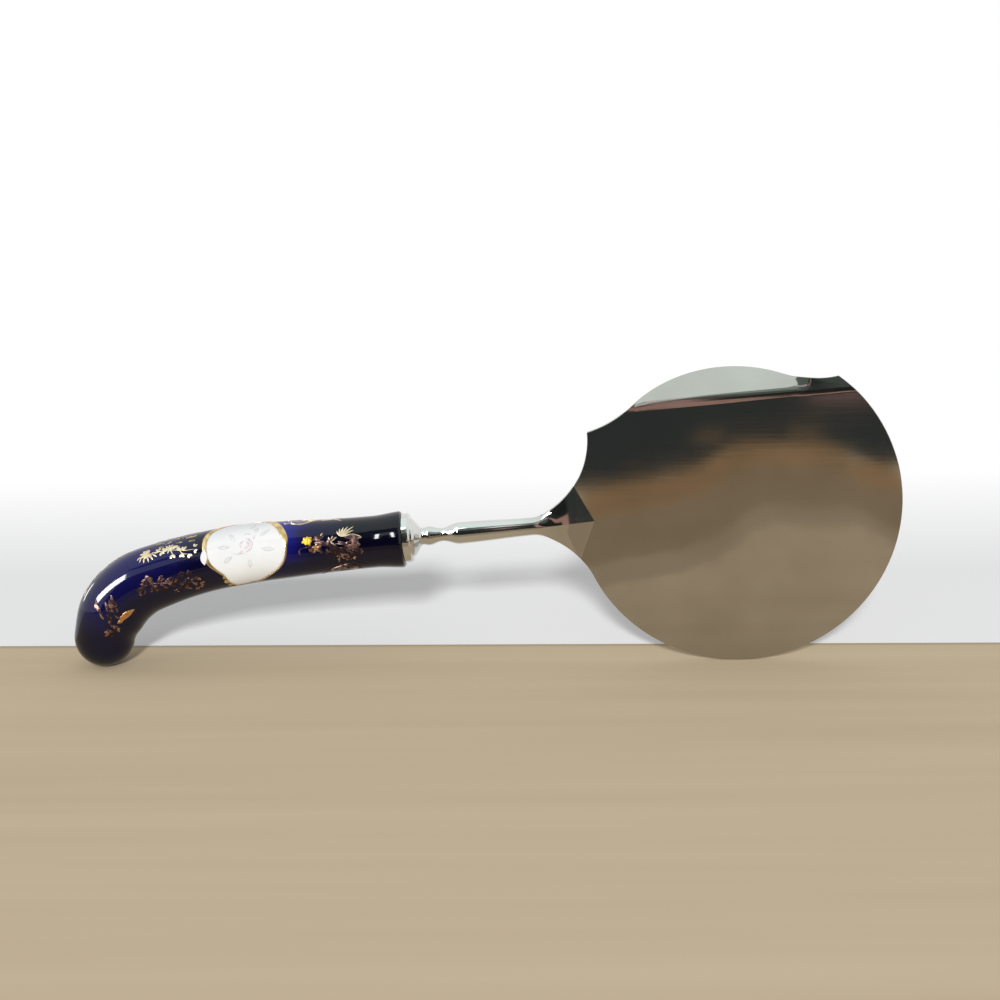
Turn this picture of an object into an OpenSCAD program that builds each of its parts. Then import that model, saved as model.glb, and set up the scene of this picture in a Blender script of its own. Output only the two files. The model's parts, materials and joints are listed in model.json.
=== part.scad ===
// Cake server: a round sheet-steel blade with one raised edge, brazed into the slit palm of a turned
// stem. The stem's tang passes through a ferrule and is cemented into a hollow porcelain pistol grip.
// Everything is drawn along the stem's axis: x runs from the handle's mouth towards the blade,
// z lies in the blade's plane and y crosses it, with the blade's underside facing -y.
// The finished server then stands on the blade's rim and the butt of the handle, at z = 0.

/* [Blade] */
// Diameter of the round blade
blade_d = 100; // [90:1:110]
// Thickness of the blade's sheet
blade_t = 1.4; // [1:0.1:2]
// Distance from the handle's mouth to the blade's centre
blade_reach = 104; // [100:1:112]
// Height of the blade's centre above the stem's axis
blade_rise = 1; // [0:0.1:3]
// Radius of the two hollows beside the neck
neck_hollow_r = 27; // [24:0.5:30]
// Width of the neck between the two hollows
neck_w = 2.2; // [1.6:0.1:4]
// Thickness of the stepped tongue that enters the stem's slit
tongue_t = 0.9; // [0.6:0.1:0.95]

/* [Raised edge] */
// Height of the bend line above the blade's centre
lip_start = 31.7; // [29:0.1:33]
// Angle that the edge is turned up by
lip_angle = 45; // [20:1:70]
// Angle that the edge is turned up by at the far horn, where the bend eases off
lip_far_angle = 20; // [15:1:40]
// Inside radius of the bend
lip_bend_r = 4; // [2:0.1:5]
// Height of the lobe's crest above the blade's centre, before bending
lip_crest = 45.2; // [42:0.1:47]
// Radius of the lobe between the two hollows
lobe_r = 40.5; // [37:0.5:44]
// How far the lobe's centre lies behind the blade's centre, towards the handle
lobe_back = 2; // [0:0.5:5]
// Radius of the hollow between the near horn and the lobe
near_hollow_r = 34; // [30:0.5:38]
// Radius of the hollow between the lobe and the far horn
far_hollow_r = 25; // [20:0.5:30]
// Height of the far horn above the blade's centre, before bending
far_horn_rise = 37.4; // [35:0.1:40]

/* [Stem] */
// Distance from the handle's mouth to the end of the round shank
shank_end = 42; // [40:0.5:44]
// Radius of the shank where it meets the palm
shank_r = 2.75; // [2.4:0.05:3.2]
// Radius of the vase-shaped swelling
swell_r = 3.4; // [3:0.1:4]
// Distance from the handle's mouth to the middle of the swelling
swell_x = 17.5; // [16:0.5:20]
// Radius of the waist between the bead and the swelling
waist_r = 2.05; // [1.8:0.05:2.4]
// Distance from the handle's mouth to the waist
waist_x = 12; // [11:0.25:13]
// Radius of the bead next to the ferrule
bead_r = 2.95; // [2.7:0.05:3.4]
// Length of the bead along the axis
bead_len = 3.6; // [3:0.1:4.4]
// Distance from the handle's mouth to the point of the palm on the blade
palm_tip = 59.5; // [57:0.5:63]
// How far the palm's two corners lie behind its point
palm_sweep = 6; // [2:0.2:8]
// Width of the palm across its two corners
palm_w = 26; // [22:0.5:30]
// Clearance between the palm's edge and the step in the blade
palm_gap = 0.05; // [0.02:0.01:0.1]
// Depth of the slit that holds the blade, behind the end of the shank
slit_depth = 2.5; // [1:0.5:6]
// Thickness of the braze between the blade and each cheek
braze_t = 0.1; // [0.05:0.01:0.2]

/* [Tang] */
// Radius of the round tang
tang_r = 1.9; // [1.5:0.05:2]
// Length of the tang behind the handle's mouth
tang_len = 60; // [40:1:70]
// Radius of the tang at the bottom of its keying grooves
groove_r = 1.4; // [1.1:0.05:1.45]
// Width of one keying groove
groove_w = 2; // [1:0.1:3]
// Distance between keying grooves
groove_pitch = 8; // [5:0.5:10]
// Number of keying grooves
groove_count = 4; // [1:1:5]

/* [Ferrule] */
// Radius of the ferrule's disc
disc_r = 7.7; // [7:0.1:8.4]
// Thickness of the disc
disc_t = 2.6; // [2:0.1:3.2]
// Rounding of the disc's front edge
disc_round = 1.1; // [0.4:0.1:1.6]
// Radius where the cone leaves the disc
cone_base_r = 6; // [5.4:0.1:6.2]
// Radius of the cone at the stem's bead
cone_tip_r = 2.6; // [2.4:0.05:3]
// Length of the ferrule in front of the handle's mouth
ferrule_len = 6; // [5:0.25:7]
// Length of the spigot inside the handle's mouth
spigot_len = 4; // [2:0.25:7]
// Radial clearance round the spigot
spigot_gap = 0.3; // [0.1:0.05:0.6]
// Radial clearance round the tang, in the ferrule and in the cement
tang_gap = 0.05; // [0.02:0.01:0.15]

/* [Handle] */
// How far the middle of the handle's mouth lies below the stem's axis
mouth_drop = 0.3; // [0:0.1:1.2]
// Radius of the handle's mouth
mouth_r = 8.8; // [8.5:0.1:9.4]
// Rounding of the mouth's outer edge
mouth_round = 1.1; // [0.6:0.1:1.4]
// Radius of the handle at its waist, behind the mouth
grip_waist_r = 8.1; // [7.6:0.1:8.6]
// Distance from the mouth to the waist
grip_waist_s = 9.5; // [6:0.5:14]
// Radius of the handle halfway along
grip_mid_r = 9.5; // [8.8:0.1:10]
// Distance along the handle from the mouth to halfway
grip_mid_s = 58; // [48:1:64]
// Radius of the handle at its fullest, in the bend
grip_bend_r = 10.7; // [9.8:0.1:11.2]
// Distance along the handle from the mouth to the fullest part
grip_bend_s = 97; // [88:1:98]
// Radius of the round butt
butt_r = 9.5; // [8.8:0.1:10]
// Length of the straight part of the handle
straight_len = 41; // [40:1:48]
// Radius of the gentle droop after the straight part
droop_r = 150; // [140:5:165]
// Angle that the droop turns through
droop_angle = 15.5; // [15:0.5:18]
// Radius of the pistol bend
pistol_r = 25; // [24:0.5:28]
// Angle that the pistol bend turns through
pistol_angle = 59; // [57:1:66]
// Thickness of the porcelain wall
wall_t = 3; // [2.2:0.1:3.4]
// Gap between the porcelain and the cement that fills it
bed_gap = 0.1; // [0.05:0.01:0.2]

/* [Hidden] */
$fn = 96;

// Overrun of every cutting solid past the face that it opens
cut_over = 1;
// Overlap that lets two arcs cross cleanly where they run into each other
arc_overlap = 0.03;
// Thickness of the slice of shank that the palm grows out of
palm_slice = 0.5;
// How far inside the ends of the bend line the raised edge begins to rise
lip_inset = 0.05;
// The largest share of a column of the raised edge that lies in the bend
bend_share = 0.6;

// Counts that set how finely the curved meshes are drawn
ring_sides = 40;
grip_rings = 30;
cap_rings = 6;
core_rings = 16;
rim_rings = 4;
lip_rows = 9;
bend_rows = 6;
near_columns = 10;
lobe_columns = 18;
far_columns = 8;
rim_columns = 6;
profile_steps = 6;

steel = "lightsteelblue";
plate = "silver";
glaze = "midnightblue";
cement = "linen";
braze = "burlywood";

// Points and circles of the flat outline, each as [x, z] along the stem's axis

function unit(v) = v / norm(v);
// The crossing of two circles on the left (side = 1) or right (side = -1) of the way from a to b
function crossing(a, ra, b, rb, side) =
    let (d = norm(b - a), along = (ra * ra - rb * rb + d * d) / (2 * d), u = unit(b - a))
    a + along * u + side * sqrt(ra * ra - along * along) * [-u[1], u[0]];
// Height of the lower (sign = -1) or upper (sign = 1) half of a circle at x
function circle_z(c, r, x, sign) = c[1] + sign * sqrt(max(0, r * r - (x - c[0]) * (x - c[0])));

blade_r = blade_d / 2;
blade_c = [blade_reach, blade_rise];
under_y = -blade_t / 2;

// The hollows beside the neck run into the blade's rim below the axis
hollow_z = neck_w / 2 + neck_hollow_r;
hollow_span = blade_r + neck_hollow_r - arc_overlap;
hollow_drop = blade_rise + hollow_z;
hollow_x = blade_reach - sqrt(hollow_span * hollow_span - hollow_drop * hollow_drop);
upper_hollow_c = [hollow_x, hollow_z];
lower_hollow_c = [hollow_x, -hollow_z];
rim_touch = blade_c + blade_r * unit(lower_hollow_c - blade_c);
near_horn = upper_hollow_c + [neck_hollow_r, 0];

// The raised edge: a lobe with a hollow on each side, ending in two horns
bend_z = blade_rise + lip_start;
lobe_c = blade_c + [-lobe_back, lip_crest - lobe_r];
far_horn = blade_c + [sqrt(blade_r * blade_r - far_horn_rise * far_horn_rise), far_horn_rise];
near_hollow_c = crossing(near_horn, near_hollow_r, lobe_c, lobe_r + near_hollow_r - arc_overlap, 1);
far_hollow_c = crossing(far_horn, far_hollow_r, lobe_c, lobe_r + far_hollow_r - arc_overlap, -1);
near_touch = lobe_c + lobe_r * unit(near_hollow_c - lobe_c);
far_touch = lobe_c + lobe_r * unit(far_hollow_c - lobe_c);
near_drop = near_hollow_c[1] - bend_z;
lip_x0 = near_hollow_c[0] + sqrt(near_hollow_r * near_hollow_r - near_drop * near_drop);
lip_x1 = blade_reach + sqrt(blade_r * blade_r - lip_start * lip_start);

// Height of the blade's upper outline at x, before bending
function top_edge(x) =
    x <= near_touch[0] ? circle_z(near_hollow_c, near_hollow_r, x, -1)
    : x <= far_touch[0] ? circle_z(lobe_c, lobe_r, x, 1)
    : x <= far_horn[0] ? circle_z(far_hollow_c, far_hollow_r, x, -1)
    : circle_z(blade_c, blade_r, x, 1);

// Points from a to b without b, so that stretches can follow each other
function spread(a, b, count) = [for (i = [0 : count - 1]) a + (b - a) * i / count];
lip_xs = concat(
    spread(lip_x0 + lip_inset, near_touch[0], near_columns),
    spread(near_touch[0], far_touch[0], lobe_columns),
    spread(far_touch[0], far_horn[0], far_columns),
    spread(far_horn[0], lip_x1 - lip_inset, rim_columns),
    [lip_x1 - lip_inset]);

// A point of the raised edge: v is its distance above the bend line in the flat sheet,
// and depth is how far it lies inside the sheet, from the underside
lip_outer_r = lip_bend_r + blade_t;
lip_eased_x = (far_touch[0] + far_horn[0]) / 2;
function lip_fold(x) = smooth([[far_touch[0], lip_angle], [lip_eased_x, lip_far_angle]], x);
function lip_arc(x) = lip_outer_r * lip_fold(x) * PI / 180;
function lip_point(x, v, depth) =
    let (a = min(v / lip_arc(x), 1) * lip_fold(x), rest = max(v - lip_arc(x), 0), r = lip_outer_r - depth)
    [x, under_y + lip_outer_r - r * cos(a) + rest * sin(a), bend_z + r * sin(a) + rest * cos(a)];

// Row j of the column at x: the first rows share out the bend, and the others the flat flap above it
function lip_row(x, j) =
    let (tall = top_edge(x) - bend_z, turn = min(lip_arc(x), bend_share * tall))
    j <= bend_rows ? turn * j / bend_rows
    : turn + (tall - turn) * (j - bend_rows) / (lip_rows - bend_rows);

// The path of the handle, as a distance s from the mouth along its middle line

droop_len = droop_r * droop_angle * PI / 180;
pistol_len = pistol_r * pistol_angle * PI / 180;
grip_len = straight_len + droop_len + pistol_len;
mouth_c = [0, -mouth_drop];
droop_end = [-straight_len - droop_r * sin(droop_angle), -droop_r * (1 - cos(droop_angle))];

// How far the path has turned downwards at s
function heading(s) =
    s <= straight_len ? 0
    : s <= straight_len + droop_len ? (s - straight_len) / droop_r * 180 / PI
    : droop_angle + (s - straight_len - droop_len) / pistol_r * 180 / PI;
function path_point(s) =
    let (h = heading(s))
    mouth_c + (s <= straight_len ? [-s, 0]
        : s <= straight_len + droop_len ? [-straight_len - droop_r * sin(h), -droop_r * (1 - cos(h))]
        : droop_end + pistol_r * [sin(droop_angle) - sin(h), cos(h) - cos(droop_angle)]);

// A value that runs smoothly through a list of [place, value] stations
function smooth_step(t) = (1 - cos(180 * t)) / 2;
function stretch(stations, at, i = 0) =
    i >= len(stations) - 2 || at <= stations[i + 1][0] ? i : stretch(stations, at, i + 1);
function smooth(stations, at) =
    let (
        i = stretch(stations, at), a = stations[i], b = stations[i + 1],
        t = min(1, max(0, (at - a[0]) / (b[0] - a[0]))))
    a[1] + (b[1] - a[1]) * smooth_step(t);

grip_stations = [
    [0, mouth_r], [grip_waist_s, grip_waist_r], [grip_mid_s, grip_mid_r],
    [grip_bend_s, grip_bend_r], [grip_len, butt_r]];
function grip_r(s) = smooth(grip_stations, s);

// Each ring of the handle is [s, radius, how far it is pushed out beyond s]
rim_stations = [for (i = [0 : rim_rings - 1]) let (q = 90 * i / rim_rings)
    [mouth_round * (1 - cos(q)), grip_r(0) - mouth_round * (1 - sin(q)), 0]];
body_stations = [for (i = [0 : grip_rings])
    let (s = mouth_round + (grip_len - mouth_round) * i / grip_rings)
    [s, grip_r(s), 0]];
function cap_stations(r) = [for (i = [1 : cap_rings - 1]) let (q = 90 * i / cap_rings)
    [grip_len, r * cos(q), r * sin(q)]];
function core_stations(from, gap) = [for (i = [0 : core_rings])
    let (s = from + (grip_len - from) * i / core_rings)
    [s, grip_r(s) - gap, 0]];

function ring(station) =
    let (
        h = heading(station[0]), p = path_point(station[0]),
        c = [p[0] - station[2] * cos(h), 0, p[1] - station[2] * sin(h)])
    [for (i = [0 : ring_sides - 1]) let (a = 360 * i / ring_sides)
        c + station[1] * (cos(a) * [-sin(h), 0, cos(h)] + sin(a) * [0, 1, 0])];
function butt_pole(r) =
    let (h = heading(grip_len), p = path_point(grip_len))
    [p[0] - r * cos(h), 0, p[1] - r * sin(h)];

outer_stations = concat(rim_stations, body_stations, cap_stations(butt_r));
mouth_station = [0, grip_r(0) - wall_t, 0];
inner_stations = concat([mouth_station], core_stations(spigot_len, wall_t), cap_stations(butt_r - wall_t));
fill_stations = concat(
    core_stations(spigot_len, wall_t + bed_gap), cap_stations(butt_r - wall_t - bed_gap));

// The triangles between successive rings, starting at point number first
function flip(t) = [t[0], t[2], t[1]];
function skin(first, rings) = [for (k = [0 : rings - 2], i = [0 : ring_sides - 1])
    let (
        j = (i + 1) % ring_sides, a = first + k * ring_sides, b = a + ring_sides)
    each [[a + i, a + j, b + j], [a + i, b + j, b + i]]];
function fan(first, pole) = [for (i = [0 : ring_sides - 1]) [first + i, first + (i + 1) % ring_sides, pole]];

// How the finished server stands: on the line that touches both the blade's rim and the butt
butt_c = path_point(grip_len);
reach = blade_c - butt_c;
stand_tilt = asin((blade_r - butt_r) / norm(reach)) - atan2(reach[1], reach[0]);
function stood(p) =
    [p[0] * cos(stand_tilt) - p[1] * sin(stand_tilt), p[0] * sin(stand_tilt) + p[1] * cos(stand_tilt)];
stood_blade = stood(blade_c);
back_xs = [for (t = outer_stations, p = ring(t)) stood([p[0], p[2]])[0]];
origin = [(min(back_xs) + stood_blade[0] + blade_r) / 2, 0, stood_blade[1] - blade_r];

module standing() {
    translate(-origin) rotate([0, -stand_tilt, 0]) children();
}

// Lays a flat [x, z] outline in the blade's plane, from y0 for a thickness t
module in_plane(y0, t) {
    translate([0, y0 + t, 0]) rotate([90, 0, 0]) linear_extrude(t) children();
}

// Turns a profile of [radius, x] about the stem's axis
module turned() {
    rotate([0, 90, 0]) rotate_extrude() children();
}

module neck_hollows() {
    translate(upper_hollow_c) circle(neck_hollow_r);
    translate(lower_hollow_c) circle(neck_hollow_r);
}

// The blade's flat outline up to the bend line, with the tongue that enters the stem
module flat_outline() {
    tongue_x = shank_end - slit_depth;
    difference() {
        intersection() {
            union() {
                translate(blade_c) circle(blade_r);
                polygon([[tongue_x, -neck_w / 2], rim_touch, blade_c, [blade_reach, bend_z + cut_over],
                    near_horn + [-cut_over, 2 * cut_over], [tongue_x, neck_w / 2]]);
            }
            translate([tongue_x - cut_over, bend_z - 2 * blade_d]) square(2 * blade_d);
        }
        neck_hollows();
        translate(near_hollow_c) circle(near_hollow_r);
    }
}

// The raised edge as one mesh: columns across the sheet, rows up it, and both faces
module raised_edge() {
    last = len(lip_xs) - 1;
    side = 2 + (last - 1) * (lip_rows + 1);
    // The end columns have no height, so each is a single point on either face
    function at(i, j) = i == 0 ? 0 : i == last ? 1 : 2 + (i - 1) * (lip_rows + 1) + j;
    function face_points(depth) = concat(
        [lip_point(lip_xs[0], 0, depth), lip_point(lip_xs[last], 0, depth)],
        [for (i = [1 : last - 1], j = [0 : lip_rows])
            lip_point(lip_xs[i], lip_row(lip_xs[i], j), depth)]);
    under = [for (i = [0 : last - 1], j = [0 : lip_rows - 1])
        each [[at(i, j), at(i, j + 1), at(i + 1, j + 1)], [at(i, j), at(i + 1, j + 1), at(i + 1, j)]]];
    upper = [for (t = under) flip([t[0] + side, t[1] + side, t[2] + side])];
    edges = [for (i = [0 : last - 1])
        let (a = at(i, 0), b = at(i + 1, 0), c = at(i, lip_rows), d = at(i + 1, lip_rows))
        each [[a, b, b + side], [a, b + side, a + side], [d, c, c + side], [d, c + side, d + side]]];
    whole = [for (t = concat(under, upper, edges)) if (t[0] != t[1] && t[1] != t[2] && t[0] != t[2]) t];
    polyhedron(concat(face_points(0), face_points(blade_t)), whole);
}

// The palm's outline on the blade: a blunt point with two corners, and its distance from the edge
module palm_outline(gap) {
    corner_x = palm_tip - palm_sweep + gap;
    polygon([[shank_end, -shank_r], [corner_x, -palm_w / 2], [palm_tip + gap, 0], [corner_x, palm_w / 2],
        [shank_end, shank_r]]);
}

// What is stepped down on each face of the blade, so that the cheeks of the palm lie flush at their edges
module palm_step() {
    palm_outline(palm_gap);
    translate([0, -palm_w / 2]) square([shank_end + palm_gap, palm_w]);
}

module blade() {
    step_t = (blade_t - tongue_t) / 2;
    color(plate) standing() {
        difference() {
            in_plane(under_y, blade_t) flat_outline();
            in_plane(under_y - cut_over, cut_over + step_t) palm_step();
            in_plane(tongue_t / 2, cut_over + step_t) palm_step();
        }
        raised_edge();
    }
}

// Radius of the stem along its axis, from the ferrule to the end of the shank
bead_x = ferrule_len + bead_len / 2;
stem_stations = [
    [ferrule_len, cone_tip_r], [bead_x, bead_r], [waist_x, waist_r], [swell_x, swell_r],
    [shank_end, shank_r]];
stem_profile = [for (i = [0 : len(stem_stations) - 2])
    each spread(stem_stations[i][0], stem_stations[i + 1][0], profile_steps)];

module stem_turning() {
    turned() polygon(concat(
        [[0, -tang_len], [tang_r, -tang_len], [tang_r, ferrule_len]],
        [for (x = stem_profile) [smooth(stem_stations, x), x]],
        [[shank_r, shank_end], [0, shank_end]]));
}

module keying_grooves() {
    for (i = [1 : groove_count])
        turned() translate([groove_r, i * groove_pitch - tang_len]) square([tang_r, groove_w]);
}

module palm() {
    difference() {
        hull() {
            rotate([0, 90, 0]) translate([0, 0, shank_end - palm_slice])
                cylinder(r = shank_r, h = palm_slice, $fn = 32);
            in_plane(under_y, blade_t) palm_outline(0);
        }
        in_plane(-shank_r - cut_over, 2 * (shank_r + cut_over)) neck_hollows();
    }
}

module stem() {
    slit_t = tongue_t + 2 * braze_t;
    slit_x = shank_end - slit_depth - braze_t;
    color(steel) standing() difference() {
        union() {
            stem_turning();
            palm();
        }
        keying_grooves();
        translate([slit_x, -slit_t / 2, -palm_w]) cube([palm_tip, slit_t, 2 * palm_w]);
    }
}

module braze_layers() {
    color(braze) standing() for (y = [-tongue_t / 2 - braze_t, tongue_t / 2])
        in_plane(y, braze_t) intersection() {
            flat_outline();
            palm_outline(0);
        }
}

module ferrule() {
    spigot_r = grip_r(spigot_len) - wall_t - mouth_drop - spigot_gap;
    bore_r = tang_r + tang_gap;
    color(steel) standing() difference() {
        turned() {
            polygon([[0, -spigot_len], [spigot_r, -spigot_len], [spigot_r, 0], [disc_r, 0],
                [disc_r, disc_t - disc_round], [disc_r - disc_round, disc_t], [cone_base_r, disc_t],
                [cone_tip_r, ferrule_len], [0, ferrule_len]]);
            translate([disc_r - disc_round, disc_t - disc_round]) circle(disc_round);
        }
        rotate([0, 90, 0]) translate([0, 0, -spigot_len - cut_over])
            cylinder(r = bore_r, h = spigot_len + ferrule_len + 2 * cut_over);
    }
}

module handle() {
    outer_count = len(outer_stations);
    inner_count = len(inner_stations);
    inner_first = outer_count * ring_sides;
    pole = (outer_count + inner_count) * ring_sides;
    points = concat(
        [for (t = outer_stations) each ring(t)], [for (t = inner_stations) each ring(t)],
        [butt_pole(butt_r), butt_pole(butt_r - wall_t)]);
    mouth = [for (i = [0 : ring_sides - 1])
        let (j = (i + 1) % ring_sides)
        each [[i, inner_first + j, j], [i, inner_first + i, inner_first + j]]];
    outside = concat(skin(0, outer_count), fan((outer_count - 1) * ring_sides, pole));
    inside = concat(
        skin(inner_first, inner_count), fan(inner_first + (inner_count - 1) * ring_sides, pole + 1));
    color(glaze) standing() polyhedron(points, concat(outside, [for (t = inside) flip(t)], mouth));
}

module cement_core() {
    count = len(fill_stations);
    pole = count * ring_sides;
    front = path_point(spigot_len);
    points = concat(
        [for (t = fill_stations) each ring(t)],
        [butt_pole(butt_r - wall_t - bed_gap), [front[0], 0, front[1]]]);
    faces = concat(
        skin(0, count), fan((count - 1) * ring_sides, pole), [for (t = fan(0, pole + 1)) flip(t)]);
    color(cement) standing() difference() {
        polyhedron(points, faces);
        rotate([0, 90, 0]) translate([0, 0, -tang_len - tang_gap])
            cylinder(r = tang_r + tang_gap, h = tang_len + tang_gap + cut_over);
    }
}

blade();
stem();
braze_layers();
ferrule();
handle();
cement_core();
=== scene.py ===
# %% [markdown]
# # A cake server with a porcelain grip
# The imported solids are the skeleton of this lesson. They load as a fixed frame in metres, and every
# piece that is modelled below is placed from it, so nothing has to be fitted by eye.

import json
import math
from math import cos, pi, radians, sin

import bpy
from mathutils import Matrix, Vector

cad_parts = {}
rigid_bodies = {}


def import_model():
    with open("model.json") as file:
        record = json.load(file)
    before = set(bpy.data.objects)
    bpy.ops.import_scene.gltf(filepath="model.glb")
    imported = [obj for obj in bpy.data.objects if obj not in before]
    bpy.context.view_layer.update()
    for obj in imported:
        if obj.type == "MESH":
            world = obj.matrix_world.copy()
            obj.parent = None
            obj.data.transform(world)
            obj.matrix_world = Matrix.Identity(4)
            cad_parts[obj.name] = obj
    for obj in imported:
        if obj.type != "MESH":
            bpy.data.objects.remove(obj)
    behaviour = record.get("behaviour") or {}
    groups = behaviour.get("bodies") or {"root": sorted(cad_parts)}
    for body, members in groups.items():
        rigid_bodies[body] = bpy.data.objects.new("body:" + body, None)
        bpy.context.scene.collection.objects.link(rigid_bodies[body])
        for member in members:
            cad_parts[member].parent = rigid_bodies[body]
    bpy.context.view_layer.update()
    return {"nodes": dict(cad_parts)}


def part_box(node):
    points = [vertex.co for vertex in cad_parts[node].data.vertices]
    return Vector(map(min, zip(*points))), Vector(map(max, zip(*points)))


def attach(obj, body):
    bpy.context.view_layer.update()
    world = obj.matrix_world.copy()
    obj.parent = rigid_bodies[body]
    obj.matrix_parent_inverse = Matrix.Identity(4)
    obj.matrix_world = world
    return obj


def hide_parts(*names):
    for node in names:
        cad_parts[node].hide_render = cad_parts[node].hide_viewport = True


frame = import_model()
mm = 0.001
print("solids:", sorted(frame["nodes"]))

# %% [markdown]
# ## Hand tools
# Operators act on whatever is selected, so each step first clears the selection and picks its own
# piece. These few helpers do that, open and close a piece for editing, apply a modifier, and hand a finished
# piece to the frame.

# %% Helpers for selecting and applying
def clear_bench():
    """Leaves edit mode and deselects everything."""
    if bpy.context.object and bpy.context.object.mode != "OBJECT":
        bpy.ops.object.mode_set(mode="OBJECT")
    bpy.ops.object.select_all(action="DESELECT")


def only(obj):
    clear_bench()
    obj.select_set(True)
    bpy.context.view_layer.objects.active = obj


def edit_all():
    """Opens the active piece in edit mode with all of it selected."""
    bpy.ops.object.mode_set(mode="EDIT")
    bpy.ops.mesh.select_all(action="SELECT")


def close_edit():
    bpy.ops.object.mode_set(mode="OBJECT")


def close_outwards():
    """Turns the faces of the open piece outwards and leaves edit mode."""
    bpy.ops.mesh.select_all(action="SELECT")
    bpy.ops.mesh.normals_make_consistent(inside=False)
    close_edit()


def settle():
    """Puts the active piece's place, turn and scale into its mesh."""
    bpy.ops.object.transform_apply(location=True, rotation=True, scale=True)


def named(name):
    obj = bpy.context.object
    obj.name = obj.data.name = name
    return obj


def apply_modifier(obj, kind, **settings):
    only(obj)
    bpy.ops.object.modifier_add(type=kind)
    modifier = obj.modifiers[-1]
    for key, value in settings.items():
        setattr(modifier, key, value)
    bpy.ops.object.modifier_apply(modifier=modifier.name)


def select_where(obj, kind, test):
    """In edit mode, selects the vertices or edges of obj that pass the test."""
    bpy.ops.mesh.select_mode(type=kind)
    bpy.ops.mesh.select_all(action="DESELECT")
    close_edit()
    items = {"VERT": obj.data.vertices, "EDGE": obj.data.edges}[kind]
    chosen = [item for item in items if test(item)]
    for item in chosen:
        item.select = True
    bpy.ops.object.mode_set(mode="EDIT")
    return len(chosen)


def hand_over(obj, material, slot, *nodes):
    obj.data.materials.clear()
    obj.data.materials.append(material)
    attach(obj, "root")
    if nodes:
        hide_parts(*nodes)
    print(obj.name, "-", len(obj.data.polygons), "faces")


# %% [markdown]
# ## The bench frame
# The server was drawn lying along its stem: x runs from the mouth of the handle to the blade, z lies in
# the plane of the blade. It then stands tilted on the rim of the blade and the butt of the handle. The
# pieces are modelled on that bench and stood up at the end, with the tilt worked out in the same way.
# The handle's middle line is straight, then droops, then turns down in a pistol bend.

# %% Driving sizes, in millimetres
blade_r, blade_reach, blade_rise = 50, 104, 1
blade_t = 1.4
mouth_drop, mouth_r, mouth_round = 0.3, 8.8, 1.1
straight_len, droop_r, droop_turn = 41, 150, radians(15.5)
pistol_r, pistol_turn = 25, radians(59)
butt_r, wall_t = 9.5, 3
droop_len, pistol_len = droop_r * droop_turn, pistol_r * pistol_turn
grip_len = straight_len + droop_len + pistol_len
grip_stations = [(0, mouth_r), (9.5, 8.1), (58, 9.5), (97, 10.7), (grip_len, butt_r)]


def heading(s):
    """How far the handle's middle line has turned downwards at a distance s from the mouth."""
    if s <= straight_len:
        return 0.0
    if s <= straight_len + droop_len:
        return (s - straight_len) / droop_r
    return droop_turn + (s - straight_len - droop_len) / pistol_r


def on_droop(h):
    return -straight_len - droop_r * sin(h), -mouth_drop - droop_r * (1 - cos(h))


def middle_line(s):
    h = heading(s)
    if s <= straight_len:
        return -s, -mouth_drop
    if s <= straight_len + droop_len:
        return on_droop(h)
    x, z = on_droop(droop_turn)
    return x + pistol_r * (sin(droop_turn) - sin(h)), z + pistol_r * (cos(h) - cos(droop_turn))


def flowing(stations, at):
    """A value that runs smoothly through a list of (place, value) stations."""
    for (a, value_a), (b, value_b) in zip(stations, stations[1:]):
        if at <= b:
            t = min(1, max(0, (at - a) / (b - a)))
            return value_a + (value_b - value_a) * (1 - cos(pi * t)) / 2
    return stations[-1][1]


# %% Standing the server up
butt_x, butt_z = middle_line(grip_len)
reach = Vector((blade_reach - butt_x, blade_rise - butt_z))
tilt = math.asin((blade_r - butt_r) / reach.length) - math.atan2(reach.y, reach.x)
blade_low, blade_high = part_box("blade")
turned_blade = Matrix.Rotation(-tilt, 4, "Y") @ Vector((blade_reach, 0, blade_rise))
stand = Matrix.Translation((
    blade_high.x - (turned_blade.x + blade_r) * mm, 0,
    blade_low.z - (turned_blade.z - blade_r) * mm)) @ Matrix.Rotation(-tilt, 4, "Y")
to_bench = stand.inverted()


def stand_up(obj):
    only(obj)
    obj.matrix_world = stand
    settle()


print("tilt", round(math.degrees(tilt), 3), "degrees")
print("mouth at", [round(v / mm, 2) for v in stand.translation])

# %% [markdown]
# ## Camera
# The camera looks from a little above and a little to the right, with a lens of twice the image's width,
# as the outline in the picture asks for. Its small roll is the picture's own.

# %% Camera
view_turn, view_height, view_roll = radians(2.906), radians(14), radians(-1.427)
view_distance, view_target = 617.96 * mm, Vector((6.314, 0, 52.37)) * mm
bpy.ops.object.camera_add()
camera = named("camera")
forward = Vector((
    -sin(view_turn) * cos(view_height), cos(view_turn) * cos(view_height),
    -sin(view_height)))
level = Vector((cos(view_turn), sin(view_turn), 0))
above = level.cross(forward)
right = cos(view_roll) * level + sin(view_roll) * above
up = cos(view_roll) * above - sin(view_roll) * level
turn = Matrix((right, up, -forward)).transposed().to_4x4()
camera.matrix_world = Matrix.Translation(view_target - forward * view_distance) @ turn
camera.data.sensor_width, camera.data.lens = 36, 72
camera.data.clip_start, camera.data.clip_end = 0.01, 50
bpy.context.scene.camera = camera
bpy.context.scene.view_settings.view_transform = "Standard"
print("camera at", [round(v, 4) for v in camera.location])

# %% [markdown]
# ## Node materials
# Every finish is a tree of nodes on the object's own coordinates, so it stays in place from any side.
# The helpers start a material, add a node and fill in its sockets, and lay down a noise that can be stretched
# along a direction. Others turn such a noise into two tones, uneven gloss or a bump, which is what most real
# surfaces need.

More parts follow.
